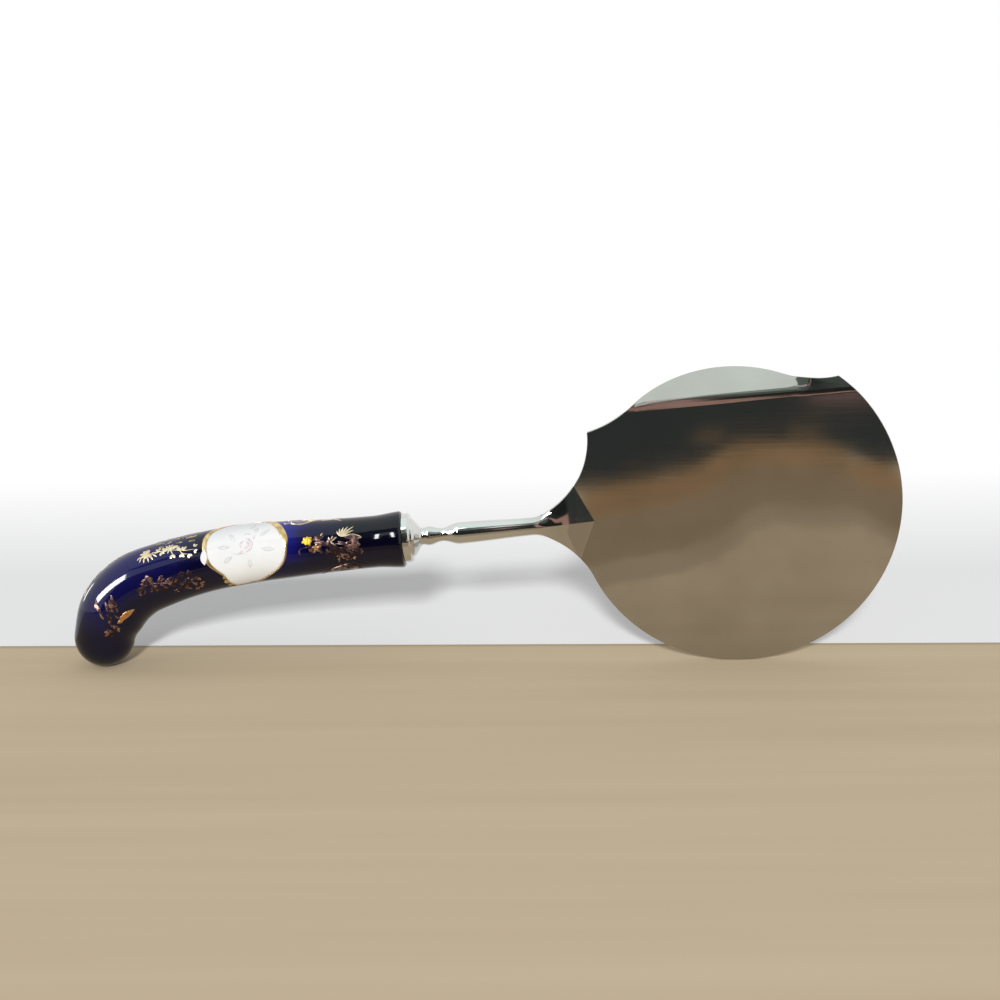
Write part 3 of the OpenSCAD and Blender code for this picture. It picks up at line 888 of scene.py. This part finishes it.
def wrap(obj, lift, both_sides=False):
    """Wraps a flat drawing in metres onto the front of the handle, and mirrors it to the back if asked."""
    for v in obj.data.vertices:
        v.co = on_grip(v.co.x / mm, v.co.y / mm, v.co.z / mm + lift) * mm
    only(obj)
    if both_sides:
        edit_all()
        bpy.ops.mesh.duplicate()
        bpy.ops.transform.resize(value=(1, -1, 1), center_override=(0, 0, 0))
        bpy.ops.mesh.flip_normals()
        close_edit()
    stand_up(obj)
    bpy.ops.object.shade_smooth()


# %% [markdown]
# ## White reserve
# The oval was masked while the cobalt was laid on, so the white body shows through the clear glaze. It is
# an oval disc with rings of faces, made by insetting its face again and again, and wrapped on the grip.

# %% Reserve panel
oval_x, oval_y, oval_rings, panel_lift = -48.1, 4.2, 18, 0.03
oval_edge = [(-90, 13.4), (-56, 11.9), (-21, 12.4), (30, 11.2), (90, 13.5), (130, 13), (180, 11.9),
             (220, 11), (252, 15), (270, 13.4)]


def on_oval(angle, beyond, share=1):
    """A point of the flat drawing on the reserve's edge, or a share of the way out to it."""
    degrees = (math.degrees(angle) + 90) % 360 - 90
    radius = (flowing(oval_edge, degrees) + beyond) * share
    return oval_x + radius * cos(angle), oval_y + radius * sin(angle)


clear_bench()
bpy.ops.mesh.primitive_circle_add(vertices=112, radius=1, fill_type="NGON")
reserve = named("white_reserve")
edit_all()
for i in range(oval_rings - 1):
    bpy.ops.mesh.inset(thickness=1 / oval_rings)
bpy.ops.mesh.poke()
close_edit()
for v in reserve.data.vertices:
    x, y = on_oval(math.atan2(v.co.y, v.co.x), 0, math.hypot(v.co.x, v.co.y))
    v.co = Vector((x, y, 0)) * mm
wrap(reserve, panel_lift)
apply_modifier(reserve, "SOLIDIFY", thickness=0.05 * mm, offset=-1)

white_glaze, shader = start_material("white_glaze", IOR=1.52)
two_tone(shader, grain(shader, 90), 0.3, 0.7, (0.77, 0.78, 0.785), (0.71, 0.725, 0.735))
glaze_surface(shader, 0.07, 0.13, 0.25)
hand_over(reserve, white_glaze, "porcelain")

# %% [markdown]
# ## Gilding
# Gilt ornament is brushed on last and fired at low heat, so it lies a hair above the glaze. It is bright
# where it was burnished and brown where it has worn thin.

# %% Gilt finish
def gilding(name, bright, worn, rough_low=0.22, rough_high=0.5, bare=0.40, fade=0.24):
    material, shader = start_material(name, Metallic=1.0)
    wear = grain(shader, 560, detail=5, rough=0.65)
    two_tone(shader, wear, bare, bare + fade, bright, worn)
    uneven_gloss(shader, wear, 0.35, 0.7, rough_low, rough_high)
    press(shader, grain(shader, 1500), 0.02 * mm, 0.4)
    return material


gilt = gilding("burnished_gilt", (0.84, 0.62, 0.30), (0.46, 0.32, 0.15))

# %% Band round the reserve
clear_bench()
bpy.ops.mesh.primitive_torus_add(
    major_segments=144, minor_segments=10, major_radius=1, minor_radius=0.5)
band = named("gilt_band")
band_width = [(-90, 0.4), (-30, 0.45), (-8, 0.7), (12, 1.9), (35, 2.1), (90, 1.3), (150, 1.5), (190, 1.2),
              (215, 0.6), (270, 0.4)]
band_height, band_out = 0.16, 0.4
for v in band.data.vertices:
    angle = math.atan2(v.co.y, v.co.x)
    width = flowing(band_width, (math.degrees(angle) + 90) % 360 - 90)
    x, y = on_oval(angle, (math.hypot(v.co.x, v.co.y) - 1) * width + width * band_out)
    v.co = Vector((x, y, v.co.z * band_height)) * mm
wrap(band, panel_lift)
hand_over(band, gilt, "porcelain")

# %% [markdown]
# ## Brush marks
# Painted sprays are built from a few brush marks: a pointed leaf, a round bead and a drawn line. The leaf
# and the bead are modelled once, a millimetre long and slightly crowned, and copied for every mark. The
# line is a curve whose thickness swells and thins as a loaded brush does, and becomes a mesh at once.

# %% Leaf and bead marks
def brush_mark(name, pointed):
    """A crowned mark one millimetre long that starts at the origin and points along x."""
    clear_bench()
    bpy.ops.mesh.primitive_uv_sphere_add(segments=14, ring_count=6, radius=0.5 * mm)
    mark = named(name)
    for v in mark.data.vertices:
        x, y = v.co.x / (0.5 * mm), v.co.y / (0.5 * mm)
        crown = max(0, 1 - x * x - y * y) * (1 if v.co.z > 0 else -0.4)
        taper = max(0, 1 - x * x) ** (0.5 * pointed)
        v.co = Vector((0.5 + 0.5 * x, 0.5 * y * taper, crown)) * mm
    mark.hide_render = True
    return mark


leaf_mark, bead_mark = brush_mark("leaf_mark", 1), brush_mark("bead_mark", 0)
mark_height = 0.05


def dab(mark, x, y, degrees, length, width):
    """One copy of a mark, with its own mesh, on the flat drawing in millimetres."""
    only(mark)
    bpy.ops.object.duplicate()
    copy = bpy.context.object
    copy.hide_render = False
    copy.location = (x * mm, y * mm, 0)
    copy.rotation_euler = (0, 0, radians(degrees))
    copy.scale = (length, width, mark_height)
    return copy


def leaf(x, y, degrees, length, width):
    return [dab(leaf_mark, x, y, degrees, length, width)]


def leaves(rows, *width):
    """A leaf for each row of place, direction and length; the rows may share one width."""
    return [mark for row in rows for mark in leaf(*row, *width)]


def bead(x, y, size):
    return [dab(bead_mark, x - size / 2, y, 0, size, size)]


def flower(x, y, size, petals=5, wide=0.5, start=90):
    """Petals round a bead, each a little longer or shorter than the last."""
    marks = []
    for i in range(petals):
        uneven = size * (0.85 + 0.3 * ((i * 7) % 5) / 4)
        marks += leaf(x, y, start + i * 360 / petals, uneven, size * wide)
    return marks + bead(x, y, size * 0.45)


def tuft(x, y, strokes, width):
    """Strokes that fan out from one point, each with its direction and length."""
    return leaves([(x, y, *stroke) for stroke in strokes], width)


def bud(x, y, degrees, size):
    """A heart-shaped bud of two short strokes."""
    return leaves([(x, y, degrees - 28, size), (x, y, degrees + 28, size)], size * 0.6)


# %% Drawn lines
def through(points, steps=8):
    """A smooth run of points through the given ones."""
    ends = [points[0]] + points + [points[-1]]
    run = []
    for a, b, c, d in zip(ends, ends[1:], ends[2:], ends[3:]):
        for i in range(steps):
            t = i / steps
            run.append(tuple(
                0.5 * (2 * q + (r - p) * t + (2 * p - 5 * q + 4 * r - w) * t ** 2 + (3 * q - p - 3 * r + w) * t ** 3)
                for p, q, r, w in zip(a, b, c, d)))
    return run + [points[-1]]


def line(points, thick):
    """A brushed line in millimetres, thickest in the middle."""
    run = through(points)
    curve = bpy.data.curves.new("line", "CURVE")
    curve.dimensions, curve.bevel_depth, curve.bevel_resolution = "3D", thick / 2 * mm, 1
    curve.use_fill_caps = True
    spline = curve.splines.new("POLY")
    spline.points.add(len(run) - 1)
    for i, (x, y) in enumerate(run):
        spline.points[i].co = (x * mm, y * mm, 0, 1)
        spline.points[i].radius = 0.35 + 0.65 * sin(pi * (i + 0.5) / len(run))
    obj = bpy.data.objects.new("line", curve)
    bpy.context.collection.objects.link(obj)
    only(obj)
    bpy.ops.object.convert(target="MESH")
    obj = bpy.context.object
    obj.scale = (1, 1, 0.25)
    return [obj]


def spray(name, marks, material, lift=0.02, both_sides=True):
    clear_bench()
    for mark in marks:
        mark.select_set(True)
    bpy.context.view_layer.objects.active = marks[0]
    settle()
    bpy.ops.object.join()
    obj = named(name)
    wrap(obj, lift, both_sides)
    hand_over(obj, material, "porcelain")


# %% [markdown]
# ## Gilt sprays
# Traditional sprays of leaves, bells and small flowers fill the blue on both sides of the handle: a bright
# one on the shoulder, a browner one under it, a bouquet by the mouth and a leaf on the butt. The design is
# the lesson's own, set out mark by mark along a drawn stalk.

# %% Other gildings
worn_gilt = gilding("worn_gilt", (0.50, 0.30, 0.245), (0.05, 0.03, 0.032), 0.3, 0.55, 0.38, 0.13)
dull_gilt = gilding("dull_gilt", (0.52, 0.41, 0.25), (0.13, 0.105, 0.08), 0.3, 0.55, 0.37, 0.16)
pale_gilt = gilding("pale_gilt", (0.86, 0.72, 0.50), (0.52, 0.41, 0.27))
copper_gilt = gilding("copper_gilt", (0.85, 0.46, 0.20), (0.45, 0.22, 0.11))

# %% Shoulder spray
marks = line([(-77, 10.2), (-74.5, 9.9), (-72.6, 9.3), (-71, 9.6)], 0.45)
marks += line([(-71, 9), (-68.6, 8.3), (-66.2, 7.4), (-63.4, 7)], 0.3)
marks += line([(-70.6, 8.8), (-70.2, 7.4)], 0.3) + line([(-68, 8), (-67.2, 6.6), (-65.2, 5.8)], 0.3)
marks += tuft(-77.4, 10.5, ((105, 2.2), (135, 2.7), (165, 3), (195, 3.2), (225, 2.6), (285, 2)), 1.25)
marks += leaves((
    (-79.8, 9.9, 245, 2), (-79, 9.6, 262, 2.4), (-78, 9.5, 275, 2.3), (-77.2, 9.8, 290, 2.6),
    (-76.6, 10, 310, 2.6), (-80.2, 10.3, 225, 1.6), (-76.4, 10.4, 335, 2.2)), 0.5)
marks += flower(-71, 9.9, 2, 9, 0.3)
for x, y, degrees, size in (
        (-68.8, 8.3, 30, 1.6), (-66.7, 7.7, 80, 1.5), (-70.2, 7.3, 265, 1.6), (-67.2, 6.6, 250, 1.5),
        (-65.4, 5.8, 300, 1.4), (-63.4, 7.9, 60, 1.2), (-63.6, 6.6, 330, 1.2), (-72.8, 9.4, 70, 1.7),
        (-73.6, 9.4, 285, 1.5), (-74.4, 10, 95, 1.5), (-69.4, 9.2, 75, 1.5)):
    marks += bud(x, y, degrees, size)
spray("gilt_shoulder_spray", marks, pale_gilt)
marks = leaves((
    (-76.4, 13.4, 15, 3.2), (-73.4, 13.6, 350, 3), (-72.6, 12, 30, 2.8), (-70.2, 13.2, 20, 2.8),
    (-69.4, 11.6, 350, 2.6), (-68, 13.9, 345, 2.8), (-66.4, 12.4, 20, 2.6), (-65.2, 10.8, 350, 2.4),
    (-64.8, 12.6, 10, 2.4), (-74.8, 11.8, 345, 2.4)), 0.95)
spray("gilt_ridge_leaves", marks, dull_gilt)

# %% Belly spray
marks = line([(-82.6, 0.4), (-78.4, 0.2), (-72.6, -1.5), (-68, -2.6), (-64, -4.4)], 0.45)
marks += flower(-79.4, 1.6, 1.9, 5, 0.75, 20) + flower(-78.4, -1.5, 1.6, 5, 0.75, 50)
marks += flower(-82.8, -0.6, 1.5, 5, 0.75)
for x, y, size in (
        (-72.4, -1.3, 1.4), (-72.6, -5, 1.1), (-69, 0.3, 1.2), (-67.9, -2.4, 1.3), (-66.6, -0.1, 1.2),
        (-64.2, -3, 1), (-66, -6.4, 1.1), (-64.6, -5.4, 1), (-75.4, 0.9, 1.1), (-75.6, -3.2, 1.2)):
    marks += flower(x, y, size, 5, 0.6, 30 * x)
marks += leaves((
    (-77, 0, 40, 2.8), (-76.4, -0.3, 300, 3), (-75, -0.7, 20, 3.2), (-74.2, -1, 320, 3.2), (-72, -1.6, 35, 3),
    (-71, -1.9, 315, 3.4), (-70, -2.1, 345, 3.4), (-69.4, -2.3, 300, 3), (-67.4, -2.8, 20, 3.2),
    (-66.8, -3.1, 305, 3), (-65.6, -3.8, 350, 3), (-65.4, -4, 325, 2.8), (-71.6, -3.8, 340, 3),
    (-69.4, -5, 350, 3), (-81, -0.2, 230, 2.4), (-80.4, 0.4, 150, 2.2)), 0.85)
spray("gilt_belly_spray", marks, worn_gilt)

# %% Bouquet by the mouth
marks = line([(-31.2, 2), (-28, 2.4), (-24, 2.4), (-19, 1.2), (-13.4, 0.2)], 0.45)
marks += line([(-30.4, 2.2), (-31.6, 1.4), (-31.4, 0.3), (-30.5, 0.5)], 0.45)
for x, y, size, turn in (
        (-21, 0.7, 1.9, 10), (-18.8, -0.5, 1.8, 40), (-14.2, 1.6, 2, 0), (-17, -2, 1.5, 70),
        (-20.2, -1.7, 1.3, 20), (-13, -0.5, 1.4, 50), (-16.6, 1.2, 1.6, 25), (-15, -1.6, 1.2, 0)):
    marks += flower(x, y, size, 6, 0.6, turn)
marks += leaves((
    (-27.8, 4.2, 18, 4.6, 2), (-27, 3.4, 355, 4.2, 1.5), (-24.4, 3.2, 340, 3.4, 1.3),
    (-23, 3.4, 20, 3.4, 1.3), (-28.6, 2.2, 300, 2.4, 1.2), (-25.6, 2.2, 290, 2.6, 1.1),
    (-23, 1.6, 270, 2.8, 1.1), (-17.6, 4.3, 354, 5.6, 1.7), (-19.6, 3.2, 335, 3.8, 1.2),
    (-17, 2.6, 5, 4.2, 1.2), (-19.6, -2.4, 245, 1.8, 0.9), (-16.4, 0, 320, 3.4, 1.1)))
spray("gilt_bouquet", marks, worn_gilt)
marks = tuft(-18.8, 4.7, ((4, 3.2), (22, 4.8), (36, 5.4), (52, 4.2), (70, 3.4), (92, 2.8), (118, 2.2)), 0.6)
marks += tuft(-21.8, 3.2, ((35, 2.6), (70, 2.2), (110, 1.8), (320, 2)), 0.5)
marks += line([(-17.2, 4.9), (-14.6, 5), (-12.2, 3.8), (-14.6, 3.4)], 0.3) + leaf(-25, 5, 60, 1.7, 0.6)
marks += line([(-20.4, 2.6), (-18, 2.2), (-16.4, 2.8)], 0.3) + bud(-19.8, -1, 260, 1) + bud(-15.4, -2.2, 330, 1.1)
spray("gilt_fan", marks, pale_gilt)
marks = flower(-28.9, 4.3, 1.7, 7, 0.7) + bead(-29.2, 4, 1.7)
spray("gilt_yellow_flower", marks, gilding("yellow_gilt", (0.92, 0.60, 0.07), (0.70, 0.42, 0.06)))
spray("gilt_star", flower(-26.3, 1.7, 1.5, 5, 0.55), copper_gilt)

# %% Butt leaves
marks = leaf(-96.6, -3.9, 354, 8, 2.1) + leaf(-95.6, -3.4, 338, 4.2, 1.2) + leaf(-95, -4.4, 12, 3.6, 1.1)
marks += leaf(-97.2, -3.6, 330, 2.4, 1)
spray("gilt_butt_leaf", marks, copper_gilt)
marks = flower(-102.2, -2.7, 2, 6, 0.65) + flower(-99.4, -4.4, 1.4, 5, 0.6)
marks += leaves((
    (-91, 3.8, 246, 6.2, 1.5), (-92.2, 3.2, 238, 5, 1.3), (-93.6, 3.6, 244, 4.6, 1.2),
    (-95, 6.2, 215, 2.6, 1.2), (-96, 5.2, 250, 3.2, 1.2), (-96.8, 3, 240, 2.8, 1.1),
    (-96.2, 0.6, 245, 3, 1.3), (-94.4, -0.6, 255, 3.4, 1.2), (-97.6, -0.8, 230, 2.6, 1.1),
    (-98.4, -2.2, 250, 2.6, 1)))
spray("gilt_butt_sprig", marks, worn_gilt)

# %% Trails along the edges
marks = leaves((
    (-97.4, 12.2, 70, 2.4, 1.5), (-96.4, 13.6, 40, 2.2, 1.3), (-94.4, 14.6, 60, 1.8, 1),
    (-93.4, 15.6, 20, 2.4, 1.1), (-91, 15.4, 330, 2, 0.9), (-89.6, 16.2, 10, 2.4, 1),
    (-87.4, 15.8, 345, 1.8, 0.8), (-85.6, 16, 15, 2.4, 0.9)))
spray("gilt_top_trail", marks, dull_gilt)
marks = line([(-36.6, 12.6), (-35.8, 12), (-34.6, 12.4), (-32.8, 11.4), (-30.4, 11.2), (-28, 12.6), (-26, 13.4),
              (-23.4, 12.8), (-21.2, 13), (-18.6, 14.4)], 0.75)
marks += line([(-35.4, 13.6), (-32.6, 12.9), (-30, 12.6), (-27.4, 13.8)], 0.4)
spray("gilt_top_wave", marks, pale_gilt)
marks = line([(-26.4, -10.6), (-23.4, -7.6), (-20, -5.8), (-16.2, -4.9), (-13.2, -5.1), (-11.8, -6.2)], 1)
marks += leaves((
    (-23.6, -8, 20, 5.2), (-20.4, -6.4, 345, 5.4), (-18, -7.4, 355, 5.2), (-21, -9.6, 10, 5),
    (-17, -5.4, 335, 4.4)), 1.3)
spray("gilt_low_trail", marks, worn_gilt)
marks = bead(-15.2, -8.6, 0.9) + bead(-19.4, -9.4, 1) + leaf(-16.4, -8.2, 20, 2, 0.5)
spray("gilt_low_dots", marks, pale_gilt, lift=0.08)
marks = bead(-56.4, -4.4, 1.2) + bead(-56.2, -6.2, 1.7) + bead(-55.6, -8.2, 1.5) + bead(-55.4, -10.4, 1.9)
spray("gilt_band_knots", marks, gilt, lift=0.1, both_sides=False)
# Painted highlight: a white patch in white glaze on the left of the band, where a lamp's glint shows.
marks = leaf(-60.5, 6.4, 262, 5.4, 2) + leaf(-60.9, 5.6, 262, 4.2, 1.8)
spray("bare_patch", marks, white_glaze, lift=0.1, both_sides=False)

# %% [markdown]
# ## Rose on the reserve
# A small rose with loose leaves is painted on the white in thin, faded enamel. The petals and the leaves
# are separate pieces, because each colour was fired on its own.

# %% Rose and leaves
def enamel(name, thick, thin):
    material, shader = start_material(name, IOR=1.5)
    two_tone(shader, grain(shader, 700, detail=4), 0.3, 0.65, thick, thin)
    uneven_gloss(shader, grain(shader, 400), 0.3, 0.7, 0.08, 0.2)
    return material


rose_pink = enamel("rose_pink", (0.68, 0.48, 0.57), (0.76, 0.71, 0.73))
leaf_green = enamel("leaf_green", (0.58, 0.61, 0.60), (0.70, 0.72, 0.72))
mark_height, rose_lift = 0.03, panel_lift + 0.02
marks = line([(-47.9, 2.9), (-46.5, 3.9), (-46.1, 5.4), (-46.8, 6.8), (-48, 7.3)], 0.75)
marks += line([(-48.4, 4), (-47.5, 4.4), (-47.1, 5.3), (-47.6, 6.2)], 0.6)
marks += line([(-49.4, 4.4), (-49.3, 5.8), (-48.4, 6.6)], 0.45) + line([(-48.2, 8.6), (-47.2, 9), (-46.4, 8.4)], 0.5)
marks += leaf(-48.6, 3.4, 200, 1.6, 0.7) + leaf(-45.6, 6.6, 60, 1.6, 0.6)
spray("rose_petals", marks, rose_pink, lift=rose_lift, both_sides=False)
marks = leaves((
    (-52.6, 9.6, 300, 3.2), (-46.4, 10.8, 60, 2.8), (-43.4, 7.4, 40, 3.6), (-55.2, 5.6, 190, 0.1),
    (-52.8, 5.2, 175, 3.6), (-43.2, 3.4, 350, 4), (-52.4, 2.2, 210, 3.2), (-47.2, 0.6, 265, 2.8),
    (-44.8, 9, 80, 2.2)), 1.3)
marks += line([(-52.4, 3), (-50, 2.6), (-47.8, 2.6)], 0.25)
spray("rose_leaves", marks, leaf_green, lift=rose_lift, both_sides=False)
for mark in (leaf_mark, bead_mark):
    bpy.data.objects.remove(mark)

# %% [markdown]
# ## The rest of the solids
# The cement in the handle and the braze in the slit are hidden, but they are seen when the model is taken
# apart, so each gets its own finish.

# %% Cement and braze
cement, shader = start_material("cement", Roughness=0.9)
feed(shader, "Base Color", blend_colours(
    grain(shader, 400, detail=6), (0.83, 0.80, 0.73), (0.66, 0.62, 0.54)))
press(shader, grain(shader, 900, detail=5), 0.1 * mm, 0.6)
braze, shader = start_material("braze", Metallic=1.0)
feed(shader, "Base Color", blend_colours(grain(shader, 600), (0.78, 0.66, 0.42), (0.55, 0.43, 0.26)))
uneven_gloss(shader, grain(shader, 900), 0.3, 0.7, 0.3, 0.5)
for node, material in (("cement_core", cement), ("braze_layers", braze)):
    hidden = frame["nodes"][node]
    hidden.data.materials.clear()
    hidden.data.materials.append(material)
    print(node, "-", material.name)

# %% [markdown]
# ## Lamps for the shine
# The small lamps only draw the bright spots on the glaze and on the turned steel, so they are tied to those
# pieces. The blade mirrors the room alone.

# %% Tie the lamps to their pieces
def tied(name, lamps, pieces):
    group = bpy.data.collections.new(name)
    for piece in pieces:
        group.objects.link(piece)
    for light in lamps:
        light.light_linking.receiver_collection = group


turned_pieces = [stem, ferrule]
painted_pieces = [obj for obj in bpy.data.objects if obj.type == "MESH" and obj.data.materials
                  and (obj is handle or "gilt" in obj.name)]
tied("shine_on_grip", shine_lamps, painted_pieces + turned_pieces)
tied("shine_on_stem", [stem_lamp], turned_pieces)
print("pieces that shine:", len(painted_pieces) + len(turned_pieces))
